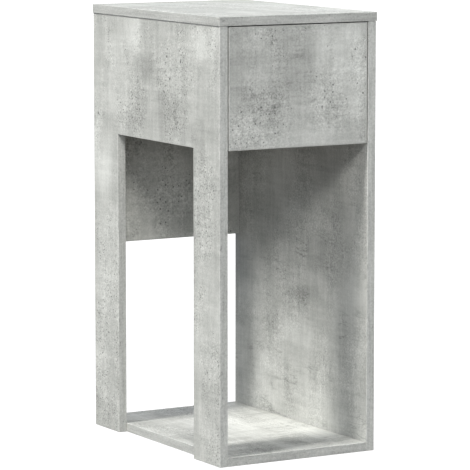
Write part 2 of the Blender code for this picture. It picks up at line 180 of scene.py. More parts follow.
SURFACE = {"Colour": "NodeSocketColor", "Roughness": "NodeSocketFloat", "Height": "NodeSocketFloat"}


def start_group(name, inputs, outputs=SURFACE):
    """A node group, the sockets that its inputs give, and the node that takes its outputs.

    Each input is named with its usual value; one without a value is a place or a vector.
    """
    group = bpy.data.node_groups.new(name, "ShaderNodeTree")
    kinds = {float: "NodeSocketFloat", tuple: "NodeSocketColor"}
    for label, value in inputs.items():
        kind = kinds.get(type(value), "NodeSocketVector")
        socket = group.interface.new_socket(label, in_out="INPUT", socket_type=kind)
        if value is not None:
            socket.default_value = value
    for label, kind in outputs.items():
        group.interface.new_socket(label, in_out="OUTPUT", socket_type=kind)
    given = group.nodes.new("NodeGroupInput").outputs
    return group, given, group.nodes.new("NodeGroupOutput")


def stretched(tree, place, scale):
    """The place with each direction stretched or squeezed."""
    return node(tree, "ShaderNodeMapping", {"Vector": place, "Scale": scale}).outputs["Vector"]


def noise(tree, place, scale, detail=2.0, roughness=0.5, distortion=0.0):
    """A soft random pattern that swings about one half."""
    inputs = {"Vector": place, "Scale": scale, "Detail": detail}
    inputs.update({"Roughness": roughness, "Distortion": distortion})
    return node(tree, "ShaderNodeTexNoise", inputs).outputs["Fac"]


def ranged(tree, value, low, high, to_low=0.0, to_high=1.0):
    """A value eased from one range to another."""
    inputs = {"Value": value, "From Min": low, "From Max": high, "To Min": to_low, "To Max": to_high}
    made = node(tree, "ShaderNodeMapRange", inputs, interpolation_type="SMOOTHSTEP")
    return made.outputs["Result"]


def sums(tree, operation, *parts):
    """One step of arithmetic on sockets or plain numbers."""
    return node(tree, "ShaderNodeMath", dict(enumerate(parts)), operation=operation).outputs["Value"]


def scaled(tree, *parts):
    """The first two parts multiplied, with the third added if there is one."""
    return sums(tree, "MULTIPLY" if len(parts) == 2 else "MULTIPLY_ADD", *parts)


def vectors(tree, operation, *parts):
    """One step of arithmetic on vectors, as sockets or plain numbers."""
    return node(tree, "ShaderNodeVectorMath", dict(enumerate(parts)), operation=operation).outputs


def cells(tree, place, scale):
    """Cells of mixed shapes: how far a place is from its cell's middle, and the cell's colour."""
    made = node(tree, "ShaderNodeTexVoronoi", {"Vector": place, "Scale": scale, "Randomness": 1.0})
    lot = node(tree, "ShaderNodeSeparateColor", {"Color": made.outputs["Color"]})
    return made.outputs["Distance"], lot.outputs


def pits_in(tree, place, scale, smallest, largest, rarity, where):
    """Round air holes of mixed sizes, thickest where the mask is high."""
    distance, lot = cells(tree, place, scale)
    chance = sums(tree, "POWER", lot["Red"], rarity)
    radius = scaled(tree, chance, largest - smallest, smallest)
    inside = sums(tree, "SUBTRACT", scaled(tree, radius, where), distance)
    return ranged(tree, inside, 0.0, 0.05)


def lifted(tree, tone, pattern, amount, scale=1.0):
    """A tone raised and lowered by a pattern that swings about one half."""
    swing = scaled(tree, sums(tree, "SUBTRACT", pattern, 0.5), amount)
    return scaled(tree, swing, scale, tone)


def coloured(tree, tone, dark, bright, bright_at=1.0, middle=None):
    """The colour for a tone: dark at nought, bright at a tone, perhaps one for a half."""
    ramp = node(tree, "ShaderNodeValToRGB", {"Fac": tone})
    first, last = ramp.color_ramp.elements
    first.color = (*dark, 1.0)
    last.color = (*bright, 1.0)
    last.position = bright_at
    if middle:
        ramp.color_ramp.elements.new(0.5).color = (*middle, 1.0)
    return ramp.outputs["Color"]


def mixed(tree, share, first, second):
    """The first colour with a share of the second laid over it."""
    return node(tree, "ShaderNodeMix", {0: share, 6: first, 7: second}, data_type="RGBA").outputs[2]


def concrete_print_group():
    """The printed concrete: clouds, shutter bands both ways, wisps, grain and air holes."""
    amounts = {"Tone": 0.5, "Clouds": 1.0, "Bands": 1.0, "Grain": 1.0, "Pits": 1.0, "Wisps": 1.0}
    group, given, made = start_group("concrete print", {"Place": None, **amounts})
    place = given["Place"]

    # Clouds, and bands that run up the board and across it where the shutter boards lay
    clouds = noise(group, place, 6.5)
    blotches = noise(group, place, 24.0, 3.0, 0.6)
    upright = noise(group, stretched(group, place, (1, 1, 0.22)), 26.0)
    level = noise(group, stretched(group, place, (0.25, 0.25, 1)), 26.0)
    patches = ranged(group, sums(group, "ADD", upright, level), 0.88, 1.12)

    # Rubbed zones show the grain and the holes, trowelled ones are close and plain
    rubbed = noise(group, stretched(group, place, (1, 1, 0.55)), 12.0, 4.0, 0.6)
    rubbed = ranged(group, rubbed, 0.42, 0.61)
    fine_upright = noise(group, stretched(group, place, (1, 1, 0.06)), 150.0, 2.0, 0.6)
    fine_level = noise(group, stretched(group, place, (0.07, 0.07, 1)), 150.0, 2.0, 0.6)
    grain = noise(group, place, 330.0, 2.0, 0.7)
    speckle = noise(group, place, 130.0, 2.0, 0.6)

    tone = lifted(group, given["Tone"], clouds, 0.62, given["Clouds"])
    tone = lifted(group, tone, blotches, 0.26, given["Clouds"])
    tone = lifted(group, tone, patches, 0.09, given["Bands"])
    tone = lifted(group, tone, fine_upright, 0.22, given["Bands"])
    tone = lifted(group, tone, fine_level, 0.18, given["Bands"])
    strength = scaled(group, rubbed, 0.80, 0.38)
    strength = scaled(group, strength, given["Grain"])
    tone = lifted(group, tone, grain, 1.05, strength)
    tone = lifted(group, tone, speckle, 0.42, strength)

    # Wisps: thin dark marks that lie across the board here and there
    across = noise(group, stretched(group, place, (0.45, 0.45, 2.4)), 20.0, 4.0, 0.6)
    from_middle = sums(group, "ABSOLUTE", sums(group, "SUBTRACT", across, 0.5))
    wisps = ranged(group, from_middle, 0.0, 0.03, 1.0, 0.0)
    stained = ranged(group, noise(group, place, 11.0, 2.0), 0.54, 0.66)
    wisps = scaled(group, wisps, stained)
    wisps = scaled(group, wisps, given["Wisps"])
    tone = scaled(group, wisps, -0.10, tone)

    # Air holes: a few large ones and many small ones, mostly where the board is rubbed
    where = scaled(group, rubbed, 1.10, 0.08)
    where = scaled(group, where, given["Pits"])
    large_pits = pits_in(group, place, 62.0, 0.01, 0.16, 8.0, where)
    small_pits = pits_in(group, place, 190.0, 0.05, 0.36, 3.2, where)
    small_pits = scaled(group, small_pits, 0.74)
    pits = sums(group, "MAXIMUM", scaled(group, large_pits, 0.85), small_pits)

    dark, middle, bright = (0.150, 0.152, 0.142), (0.415, 0.419, 0.394), (0.690, 0.696, 0.660)
    colour = coloured(group, tone, dark, bright, middle=middle)
    colour = mixed(group, pits, colour, (0.085, 0.087, 0.083, 1.0))
    roughness = ranged(group, tone, 0.2, 0.8, 0.68, 0.50)
    height = scaled(group, pits, -1.0, scaled(group, grain, 0.25))
    fill(group, made, {"Colour": colour, "Roughness": roughness, "Height": height})
    return group


def edge_band_group():
    """The band on the edges: the same print, brushed along the edge, with short dark flecks."""
    group, given, made = start_group("edge band", {"Place": None, "Tone": 0.5})
    place = given["Place"]
    lines = noise(group, stretched(group, place, (1, 1, 0.05)), 230.0, 3.0, 0.7)
    drift = noise(group, stretched(group, place, (1, 1, 0.3)), 34.0, 3.0, 0.6)
    flecks = noise(group, stretched(group, place, (1, 1, 0.22)), 330.0, 2.0, 0.7)
    grain = noise(group, place, 300.0, 2.0, 0.7)
    tone = lifted(group, given["Tone"], lines, 0.62)
    tone = lifted(group, tone, drift, 0.30)
    tone = lifted(group, tone, grain, 0.60)
    dark = ranged(group, flecks, 0.60, 0.72)
    tone = scaled(group, dark, -0.22, tone)
    colour = coloured(group, tone, (0.155, 0.157, 0.147), (0.690, 0.696, 0.662))
    roughness = ranged(group, lines, 0.3, 0.7, 0.62, 0.50)
    height = scaled(group, dark, -1.0, lines)
    fill(group, made, {"Colour": colour, "Roughness": roughness, "Height": height})
    return group


def broad_patch_group():
    """One soft-edged patch that makes a board's print paler or darker at a place; on the right side and the
    shelf some of them are painted light and shade.
    """
    inputs = {"Place": None, "Centre": None, "Reach": None, "Lift": 0.0}
    group, given, made = start_group("broad patch", inputs, {"Value": "NodeSocketFloat"})
    place = given["Place"]
    ragged = node(group, "ShaderNodeTexNoise", {"Vector": place, "Scale": 17.0, "Detail": 3.0})
    offset = vectors(group, "SUBTRACT", ragged.outputs["Color"], (0.5, 0.5, 0.5))["Vector"]
    shifted = vectors(group, "MULTIPLY_ADD", offset, (0.06, 0.06, 0.06), place)["Vector"]
    away = vectors(group, "SUBTRACT", shifted, given["Centre"])["Vector"]
    shrunk = vectors(group, "DIVIDE", away, given["Reach"])["Vector"]
    length = vectors(group, "LENGTH", shrunk)["Value"]
    mask = ranged(group, length, 0.35, 1.15, 1.0, 0.0)
    fill(group, made, {"Value": scaled(group, mask, given["Lift"])})
    return group


CONCRETE_PRINT = concrete_print_group()
EDGE_BAND = edge_band_group()
BROAD_PATCH = broad_patch_group()
MELAMINE_SHINE = 0.35


def start_material(name):
    """A new material, with its tree, its shader and the place on the object."""
    material = bpy.data.materials.new(name)
    material.use_nodes = True
    tree = material.node_tree
    place = node(tree, "ShaderNodeTexCoord").outputs["Object"]
    return material, tree, tree.nodes["Principled BSDF"], place


def dress(tree, shader, colour, roughness, height, strength, relief):
    """Plugs a colour, a roughness and a relief, with its depth in metres, into a shader."""
    bump = node(tree, "ShaderNodeBump", {"Strength": strength, "Distance": relief, "Height": height})
    fill(tree, shader, {"Base Color": colour, "Roughness": roughness, "Normal": bump.outputs["Normal"]})


def faced(name, group, offset, turn, relief, patches=(), **amounts):
    """A material that lays a printed group on a board, moved and turned to suit it.

    Each patch is its centre, its reach in the three directions and how much paler it is.
    """
    material, tree, shader, spot = start_material(name)
    shader.inputs["Specular IOR Level"].default_value = MELAMINE_SHINE
    mapping = node(tree, "ShaderNodeMapping", {"Vector": spot, "Location": offset, "Rotation": turn})
    tone = amounts.pop("Tone", 0.5)
    for centre, reach, lift in patches:
        inputs = {"Place": spot, "Centre": centre, "Reach": reach, "Lift": lift}
        patch = node(tree, "ShaderNodeGroup", inputs, node_tree=BROAD_PATCH)
        tone = sums(tree, "ADD", patch.outputs["Value"], tone)
    rub = node(tree, "ShaderNodeAttribute", attribute_name="rub").outputs["Fac"]
    rub = scaled(tree, rub, ranged(tree, noise(tree, spot, 90.0), 0.35, 0.6))
    tone = scaled(tree, rub, 0.22, tone)
    inputs = {"Place": mapping.outputs["Vector"], "Tone": tone, **amounts}
    print_node = node(tree, "ShaderNodeGroup", inputs, node_tree=group)
    dress(tree, shader, *print_node.outputs, 0.5, relief)
    return material


PRINT_RELIEF = 0.00012
BAND_RELIEF = 0.00004
UPRIGHT = (0.0, 0.0, 0.0)
ALONG_X = (0.0, math.radians(90), 0.0)
ALONG_Y = (math.radians(90), 0.0, 0.0)
# The band on edges that run along x, the front edges of the top and the shelf among them, is set darker
# than the other two: painted shade on those front edges.
BANDS = [
    faced("band along x", EDGE_BAND, (0.3, 0.1, 0.2), ALONG_X, BAND_RELIEF, Tone=0.43),
    faced("band along y", EDGE_BAND, (0.7, 0.4, 0.9), ALONG_Y, BAND_RELIEF),
    faced("band along z", EDGE_BAND, (0.1, 0.8, 0.5), UPRIGHT, BAND_RELIEF),
]


def chipboard_material():
    """Raw particle board on the edges that get no band: pressed chips in two tones."""
    material, tree, shader, spot = start_material("raw chipboard")
    _, lot = cells(tree, stretched(tree, spot, (1, 0.5, 1)), 760.0)
    chip_tone = scaled(tree, lot["Green"], 0.6)
    tone = scaled(tree, noise(tree, spot, 900.0, 3.0), 0.4, chip_tone)
    colour = coloured(tree, tone, (0.19, 0.120, 0.062), (0.52, 0.395, 0.25), 0.9)
    dress(tree, shader, colour, ranged(tree, tone, 0.0, 1.2, 0.95, 0.8), tone, 0.7, 0.0004)
    return material


def glue_line_material():
    """The hair line of glue between a band and the face: dark, a little uneven."""
    material, tree, shader, spot = start_material("glue line")
    colour = coloured(tree, noise(tree, spot, 260.0, 3.0), (0.16, 0.155, 0.14), (0.36, 0.355, 0.33))
    fill(tree, shader, {"Base Color": colour, "Roughness": 0.7})
    return material


CHIPBOARD = chipboard_material()
GLUE_LINE = glue_line_material()
EASED_EDGE = 0.0007
BAND_THICKNESS = 0.0008
GLUE_WIDTH = 0.00018
CHIP_SLOT = 4
GLUE_SLOT = 5
SHARP_ANGLE = math.radians(38)


def finished(name, bm, materials, body, replaced, smooth=False):
    """Turns a bmesh into a piece that rides on a body and stands for CAD nodes."""
    mesh = bpy.data.meshes.new(name)
    bm.to_mesh(mesh)
    bm.free()
    for material in materials:
        mesh.materials.append(material)
    if smooth:
        mesh.shade_smooth()
        mesh.set_sharp_from_angle(angle=SHARP_ANGLE)
    piece = bpy.data.objects.new(name, mesh)
    bpy.context.scene.collection.objects.link(piece)
    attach(piece, body)
    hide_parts(*replaced)


def fit(word, node_name, bm, material, body):
    """Finishes a smooth piece of hardware that stands for one CAD node."""
    finished(f"{word}_{node_name}", bm, [material], body, [node_name], smooth=True)


def longest_axis(vector):
    """The axis that a direction mostly lies on."""
    return max(range(3), key=lambda axis: abs(vector[axis]))


def push(bm, faces, way):
    """Draws faces out along a vector and leaves every face looking outward."""
    drawn = bmesh.ops.extrude_face_region(bm, geom=faces)
    moved = [item for item in drawn["geom"] if isinstance(item, bmesh.types.BMVert)]
    bmesh.ops.translate(bm, vec=way, verts=moved)
    bmesh.ops.recalc_face_normals(bm, faces=bm.faces)


def ease(bm, geom, offset, segments, affect="EDGES"):
    """Rounds edges, or the corners of a flat outline."""
    bmesh.ops.bevel(
        bm, geom=geom, offset=offset, offset_type="OFFSET", segments=segments,
        profile=0.5, affect=affect, material=-1,
    )


FACING = 0.9
SQUARE = 0.999
SMALLEST_FACE = 0.001


def saw_board(outline, through, raw_ends=()):
    """A banded board from its outline on one face and the way through to the other face.

    raw_ends are the directions in which the outermost edges are left as bare chipboard.
    The eased edges are marked as rubbed, and each face gets its band and its glue line.
    """
    through = Vector(through)
    across = through.normalized()
    bm = bmesh.new()
    push(bm, [bm.faces.new([bm.verts.new(corner) for corner in outline])], through)
    for face in bm.faces:
        if abs(face.normal.dot(across)) > FACING:
            continue
        face.material_index = 1 + longest_axis(face.normal.cross(through))
        for end in map(Vector, raw_ends):
            outermost = max(vert.co.dot(end) for vert in bm.verts) - EASED_EDGE
            if face.normal.dot(end) > FACING and face.calc_center_median().dot(end) > outermost:
                face.material_index = CHIP_SLOT
    ease(bm, bm.edges[:], EASED_EDGE, 3)
    rub = bm.faces.layers.float.new("rub")
    for face in bm.faces:
        face[rub] = 0.0 if max(abs(part) for part in face.normal) > SQUARE else 1.0
    broad = [face for face in bm.faces if abs(face.normal.dot(across)) > SQUARE]
    broad = [face for face in broad if face.material_index == 0 and face.calc_area() > SMALLEST_FACE]
    for face in broad:
        ring = bmesh.ops.inset_region(bm, faces=[face], thickness=BAND_THICKNESS, use_even_offset=True)
        for part in ring["faces"]:
            longest = max(part.edges, key=lambda edge: edge.calc_length())
            part.material_index = 1 + longest_axis(longest.verts[0].co - longest.verts[1].co)
        ring = bmesh.ops.inset_region(
            bm, faces=[face], thickness=GLUE_WIDTH, depth=-GLUE_WIDTH / 3, use_even_offset=True
        )
        for part in ring["faces"]:
            part.material_index = GLUE_SLOT
    return bm


def carved(bm, cutters):
    """Cuts the cutters out of a bmesh; the cut faces keep the cutters' material numbers."""
    scene = bpy.context.scene
    pieces = []
    for shape in (bm, *cutters):
        mesh = bpy.data.meshes.new("carving")
        shape.to_mesh(mesh)
        shape.free()
        for _ in range(GLUE_SLOT + 1):
            mesh.materials.append(None)
        pieces.append(bpy.data.objects.new("carving", mesh))
        scene.collection.objects.link(pieces[-1])
    for tool in pieces[1:]:
        cut = pieces[0].modifiers.new("cut", "BOOLEAN")
        cut.operation = "DIFFERENCE"
        cut.solver = "EXACT"
        cut.material_mode = "INDEX"
        cut.object = tool
    graph = bpy.context.evaluated_depsgraph_get()
    result = bmesh.new()
    result.from_object(pieces[0], graph)
    for piece in pieces:
        mesh = piece.data
        bpy.data.objects.remove(piece, do_unlink=True)
        bpy.data.meshes.remove(mesh)
    return result


def aim(bm, start, z_direction, x_direction=None):
    """Turns and moves a shape, so that its origin is at start and its +Z along a direction."""
    z_axis = Vector(z_direction).normalized()
    x_axis = Vector(x_direction or z_axis.orthogonal()).normalized()
    turn = Matrix((x_axis, z_axis.cross(x_axis), z_axis)).transposed()
    bmesh.ops.transform(bm, matrix=Matrix.Translation(start) @ turn.to_4x4(), verts=bm.verts)


RUN_OUT = 0.003


def drill(mouth, inwards, radius, depth):
    """A round cutter that enters a board at a point on its face."""
    bm = bmesh.new()
    bmesh.ops.create_cone(
        bm, cap_ends=True, segments=48, radius1=radius, radius2=radius, depth=depth + RUN_OUT
    )
    bmesh.ops.translate(bm, vec=(0, 0, (depth - RUN_OUT) / 2), verts=bm.verts)
    aim(bm, mouth, inwards)
    for face in bm.faces:
        face.material_index = CHIP_SLOT
    return bm


def block(low, high, material_number=0):
    """A square-edged cutter between two corners."""
    low = Vector(low)
    high = Vector(high)
    bm = bmesh.new()
    bmesh.ops.create_cube(bm, size=1.0)
    bmesh.ops.scale(bm, vec=high - low, verts=bm.verts)
    bmesh.ops.translate(bm, vec=(low + high) / 2, verts=bm.verts)
    for face in bm.faces:
        face.material_index = material_number
    return bm


def end_of(node_name, outwards):
    """The middle of the side of a CAD node's box that looks in a direction."""
    low, high = (Vector(corner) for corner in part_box(node_name))
    point = (low + high) / 2
    axis = longest_axis(outwards)
    point[axis] = high[axis] if outwards[axis] > 0 else low[axis]
    return point


def round_size(node_name, along):
    """The radius and the length of a round CAD node that lies along a direction."""
    low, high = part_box(node_name)
    axis = longest_axis(along)
    return (high[axis - 1] - low[axis - 1]) / 2, high[axis] - low[axis]


CAM_PLAY = 0.0003


def cam_pocket(cam_node, outwards):
    """The blind hole that a cam sits in."""
    radius, depth = round_size(cam_node, outwards)
    inwards = [-part for part in outwards]
    return drill(end_of(cam_node, outwards), inwards, radius + CAM_PLAY, depth + CAM_PLAY)


def board_of(node_name, axis, raw_ends=()):
    """A plain four-sided board in the place of a CAD board; axis is the one it is thin on."""
    low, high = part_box(node_name)
    first, second = [other for other in range(3) if other != axis]
    outline = []
    for a, b in ((low, low), (high, low), (high, high), (low, high)):
        corner = list(low)
        corner[first] = a[first]
        corner[second] = b[second]
        outline.append(corner)
    through = [0.0, 0.0, 0.0]
    through[axis] = high[axis] - low[axis]
    return saw_board(outline, through, raw_ends)


def finish_board(name, bm, face, node_name, body="carcass"):
    """Finishes a banded board that stands for one CAD board."""
    materials = [face, *BANDS, CHIPBOARD, GLUE_LINE]
    finished(name, bm, materials, body, [node_name])


# The top's print is set darker than the sides': painted shade against the strong light on the top.
top_face = faced(
    "concrete on the top", CONCRETE_PRINT, (0.45, 0.2, 0.1), ALONG_Y, PRINT_RELIEF,
    Tone=0.46, Clouds=0.6, Bands=1.1, Grain=0.95, Pits=0.55, Wisps=2.0,
)
finish_board("top", board_of("top_panel", 2), top_face, "top_panel")

# ---------------- left side panel
# One board cut to an n: an apron beside the drawer and two legs down to the floor.
# The edge band runs round the outside and the cut-out; the legs' ends are bare.

HANDS = {"left": -1, "right": 1}
ENDS = ("front", "rear")
left_low, left_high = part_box("left_side_panel")
drawer_front_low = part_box("drawer_front")[0]
LEG_WIDTH = 0.0875
APRON_DROP = 0.0012
cutout_top = drawer_front_low[2] - APRON_DROP
cutout_front = left_low[1] + LEG_WIDTH
cutout_back = left_high[1] - LEG_WIDTH
left_x = left_low[0]
left_outline = [
    (left_x, left_low[1], 0.0),
    (left_x, cutout_front, 0.0),
    (left_x, cutout_front, cutout_top),
    (left_x, cutout_back, cutout_top),
    (left_x, cutout_back, 0.0),
    (left_x, left_high[1], 0.0),
    (left_x, left_high[1], left_high[2]),
    (left_x, left_low[1], left_high[2]),
]
left_patches = [
    ((left_x, -0.168, 0.690), (1.0, 0.062, 0.045), 0.26),
    ((left_x, 0.175, 0.200), (1.0, 0.060, 0.180), 0.09),
    ((left_x, 0.072, 0.678), (1.0, 0.034, 0.060), 0.18),
    ((left_x, 0.130, 0.600), (1.0, 0.045, 0.110), 0.12),
    ((left_x, 0.192, 0.480), (1.0, 0.040, 0.070), 0.22),
    ((left_x, 0.040, 0.642), (1.0, 0.050, 0.020), -0.16),
    ((left_x, 0.010, 0.622), (1.0, 0.040, 0.014), -0.12),
    ((left_x, -0.030, 0.560), (1.0, 0.080, 0.060), -0.05),
    ((left_x, -0.195, 0.575), (1.0, 0.040, 0.060), -0.09),
    ((left_x, 0.205, 0.670), (1.0, 0.030, 0.070), -0.10),
    ((left_x, 0.075, 0.540), (1.0, 0.060, 0.022), -0.06),
    ((left_x, -0.170, 0.330), (1.0, 0.040, 0.080), 0.06),
]
left_face = faced(
    "concrete on the left side", CONCRETE_PRINT, (0.1, 0.35, 0.62), UPRIGHT, PRINT_RELIEF,
    left_patches, Tone=0.50, Clouds=0.6, Bands=1.2, Grain=1.05, Pits=0.88, Wisps=1.0,
)
left_board = saw_board(left_outline, (left_high[0] - left_x, 0, 0), [(0, 0, -1)])
left_board = carved(left_board, [cam_pocket(f"top_cam_left_{end}", (1, 0, 0)) for end in ENDS])
finish_board("left_side", left_board, left_face, "left_side_panel")

# ---------------- right side panel
# A full board from the floor to the top, of the same board and print. It is banded at
# the front, the back and the top; its foot is bare.

right_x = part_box("right_side_panel")[0][0]
# Paler patches low in the middle of the inner face are painted light, where the left lamp falls through the
# cut-out and off the shelf; the paler one high at the rear is painted light in the shade under the drawer.
# The thin darker one is a wisp in the print; the faint one near the front is a little paler.
right_patches_with_painted_light = [
    ((right_x, 0.010, 0.150), (1.0, 0.090, 0.070), 0.15),
    ((right_x, 0.100, 0.080), (1.0, 0.060, 0.080), 0.20),
    ((right_x, -0.050, 0.060), (1.0, 0.070, 0.050), 0.14),
    ((right_x, -0.030, 0.243), (1.0, 0.080, 0.022), -0.13),
    ((right_x, 0.100, 0.480), (1.0, 0.120, 0.100), 0.14),
    ((right_x, -0.180, 0.150), (1.0, 0.030, 0.150), 0.04),
]
right_face = faced(
    "concrete on the right side", CONCRETE_PRINT, (0.6, 0.15, 0.3), UPRIGHT, PRINT_RELIEF,
    right_patches_with_painted_light, Tone=0.50, Clouds=0.75, Bands=1.2, Grain=1.0, Pits=0.8, Wisps=2.4,
)
right_board = carved(
    board_of("right_side_panel", 0, [(0, 0, -1)]),
    [cam_pocket(f"top_cam_right_{end}", (-1, 0, 0)) for end in ENDS],
)
finish_board("right_side", right_board, right_face, "right_side_panel")

# ---------------- back panel
# A banded board between the sides, behind the drawer and the upper part of the open bay.
# A cam and a dowel at each end join it to the side panels.

back_face = faced(
    "concrete on the back", CONCRETE_PRINT, (0.2, 0.7, 0.45), UPRIGHT, PRINT_RELIEF,
    Tone=0.56, Clouds=1.0, Bands=1.2, Grain=1.1, Pits=1.0, Wisps=1.0,
)
back_board = carved(
    board_of("back_panel", 1), [cam_pocket(f"back_cam_{hand}", (0, 1, 0)) for hand in HANDS]
)
finish_board("back", back_board, back_face, "back_panel")

# ---------------- bottom shelf
# A banded board between the sides at floor level; its left edge shows between the legs.
# Four cams in its underside draw it to the side panels.

shelf_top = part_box("bottom_shelf")[1][2]
# The dark strip along the front at the left is painted shadow of the front left leg; the paler patches in
# the middle and at the right are painted light where the left lamp falls. The shelf is also darker at its
# left end.
shelf_patches_with_painted_light = [
    ((0.060, 0.020, shelf_top), (0.110, 0.150, 1.0), 0.20),
    ((0.090, -0.110, shelf_top), (0.070, 0.080, 1.0), 0.24),
    ((-0.105, 0.000, shelf_top), (0.045, 0.200, 1.0), -0.12),
    ((-0.085, -0.195, shelf_top), (0.100, 0.034, 1.0), -0.14),
]
shelf_face = faced(
    "concrete on the shelf", CONCRETE_PRINT, (0.8, 0.5, 0.15), ALONG_Y, PRINT_RELIEF,
    shelf_patches_with_painted_light, Tone=0.56, Clouds=0.55, Bands=1.8, Grain=1.2, Pits=0.8, Wisps=3.0,
)
shelf_cams = [f"shelf_cam_{hand}_{end}" for hand in HANDS for end in ENDS]
shelf_board = carved(board_of("bottom_shelf", 2), [cam_pocket(cam, (0, 0, -1)) for cam in shelf_cams])
finish_board("shelf", shelf_board, shelf_face, "bottom_shelf")

# ---------------- drawer front
# A banded board set in flush, with gaps of about 2 mm and no handle: its lower edge is
# the grip. Two cams in the drawer sides hold it.

front_y = drawer_front_low[1]
front_patches = [
    ((-0.068, front_y, 0.602), (0.068, 1.0, 0.048), -0.10),
    ((-0.030, front_y, 0.565), (0.060, 1.0, 0.030), -0.08),
    ((-0.105, front_y, 0.668), (0.036, 1.0, 0.045), -0.05),
    ((-0.005, front_y, 0.650), (0.040, 1.0, 0.070), -0.07),
    ((0.092, front_y, 0.672), (0.050, 1.0, 0.045), 0.17),
    ((0.045, front_y, 0.680), (0.020, 1.0, 0.045), 0.13),
    ((0.118, front_y, 0.612), (0.030, 1.0, 0.050), 0.12),
    ((0.042, front_y, 0.538), (0.045, 1.0, 0.025), 0.14),
    ((-0.100, front_y, 0.545), (0.045, 1.0, 0.025), 0.05),
]
front_face = faced(
    "concrete on the drawer", CONCRETE_PRINT, (0.35, 0.9, 0.75), UPRIGHT, PRINT_RELIEF,
    front_patches, Tone=0.49, Clouds=0.5, Bands=1.2, Grain=1.0, Pits=1.0, Wisps=1.2,
)
finish_board("drawer_face", board_of("drawer_front", 1), front_face, "drawer_front", "drawer")

# ---------------- drawer sides and back
# Three 15 mm boards in plain light grey melamine, banded on top and bare underneath and
# at the sides' ends. All are grooved for the bottom; the sides are screwed to the back.


def pearl_group():
    """Light grey melamine: an even colour with a fine pearl print and a soft press texture."""
    group, given, made = start_group("pearl melamine", {"Place": None, "Shade": 0.5})
    place = given["Place"]
    pearl = noise(group, stretched(group, place, (1, 0.35, 1)), 900.0, 2.0, 0.6)
    drift = noise(group, place, 11.0, 3.0)
    scuffs = noise(group, stretched(group, place, (1, 0.08, 1)), 140.0, 3.0)
    scuffs = ranged(group, scuffs, 0.60, 0.75)
    tone = lifted(group, given["Shade"], pearl, 0.5)
    tone = lifted(group, tone, drift, 0.35)
    tone = scaled(group, scuffs, -0.10, tone)
    colour = coloured(group, tone, (0.33, 0.335, 0.33), (0.52, 0.525, 0.51))
    roughness = ranged(group, sums(group, "ADD", pearl, scuffs), 0.3, 1.1, 0.42, 0.58)
    fill(group, made, {"Colour": colour, "Roughness": roughness, "Height": pearl})
    return group


def printed(name, group, relief, strength=0.4, metallic=0.0, **amounts):
    """A plain material whose colour, gloss and relief come from one group."""
    material, tree, shader, spot = start_material(name)
    shader.inputs["Metallic"].default_value = metallic
    print_node = node(tree, "ShaderNodeGroup", {"Place": spot, **amounts}, node_tree=group)
    dress(tree, shader, *print_node.outputs, strength, relief)
    return material


def across_box(node_name, side):
    """The outer and the inner x of a CAD node on one hand of the table."""
    low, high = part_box(node_name)
    return (high[0], low[0]) if side > 0 else (low[0], high[0])


PEARL = pearl_group()
box_face = printed("light grey melamine", PEARL, 0.00003, Shade=0.5)
box_band = printed("light grey band", PEARL, 0.00003, Shade=0.66)
BOX_MATERIALS = [box_face, box_band, box_band, box_band, CHIPBOARD, GLUE_LINE]
GROOVE_DEPTH = 0.005
GROOVE_PLAY = 0.0003
bottom_low, bottom_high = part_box("drawer_bottom")
groove_low = bottom_low[2] - GROOVE_PLAY
groove_high = bottom_high[2] + GROOVE_PLAY
for hand, side in HANDS.items():
    side_node = f"drawer_{hand}_side"
    side_low, side_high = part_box(side_node)
    _, inner_x = across_box(side_node, side)
    groove_x = sorted((inner_x + side * GROOVE_DEPTH, inner_x - side * RUN_OUT))
    side_groove = block(
        (groove_x[0], side_low[1] - RUN_OUT, groove_low),
        (groove_x[1], side_high[1] + RUN_OUT, groove_high),
        CHIP_SLOT,
    )
    side_board = carved(
        board_of(side_node, 0, [(0, 0, -1), (0, 1, 0), (0, -1, 0)]),
        [cam_pocket(f"drawer_cam_{hand}", (-side, 0, 0)), side_groove],
    )
    finished(
        f"drawer_side_{hand}", side_board, BOX_MATERIALS,
        "drawer", [side_node],
    )
back_low, back_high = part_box("drawer_back")
back_groove = block(
    (back_low[0] - RUN_OUT, back_low[1] - RUN_OUT, groove_low),
    (back_high[0] + RUN_OUT, back_low[1] + GROOVE_DEPTH, groove_high),
    CHIP_SLOT,
)
drawer_back_board = carved(board_of("drawer_back", 1, [(0, 0, -1)]), [back_groove])
finished(
    "drawer_rear_board", drawer_back_board, BOX_MATERIALS,
    "drawer", ["drawer_back"],
)

# ---------------- drawer bottom
# A 3 mm hardboard sheet, lacquered light grey above, with the brown screen print of
# the press below. It slides into the grooves before the back is screwed on.


def screen_material():
    """The underside of hardboard: brown fibres pressed on a square wire screen."""
    material, tree, shader, spot = start_material("hardboard underside")
    fibres = noise(tree, stretched(tree, spot, (1, 0.4, 1)), 700.0, 3.0, 0.7)
    drift = noise(tree, spot, 35.0, 3.0)
    tone = scaled(tree, drift, 0.4, scaled(tree, fibres, 0.6))
    colour = coloured(tree, tone, (0.10, 0.055, 0.028), (0.36, 0.225, 0.125))
    wires = []
    for way in ("X", "Y"):
        inputs = {"Vector": spot, "Scale": 210.0, "Distortion": 0.6, "Detail": 1.0}
        wires.append(node(tree, "ShaderNodeTexWave", inputs, bands_direction=way).outputs["Fac"])
    screen = scaled(tree, *wires)
    height = scaled(tree, fibres, 0.5, screen)
    dress(tree, shader, colour, ranged(tree, fibres, 0.3, 0.7, 0.92, 0.75), height, 0.6, 0.0003)
    return material


SHEET_EDGE = 0.0003
lacquered = printed("hardboard lacquer", PEARL, 0.00005, Shade=0.72)
underside = screen_material()
sheet = block(bottom_low, bottom_high)
ease(sheet, sheet.edges[:], SHEET_EDGE, 2)
for face in sheet.faces:
    face.material_index = 0 if face.normal.z > FACING else 1
finished(
    "drawer_bottom_sheet", sheet, [lacquered, underside],
    "drawer", ["drawer_bottom"],
)

# ---------------- cam housings
# Die-cast zinc cams, 15 mm across, pressed into pockets and turned with a cross driver.
# An arrow inside each rim points at the bolt that the cam draws in.


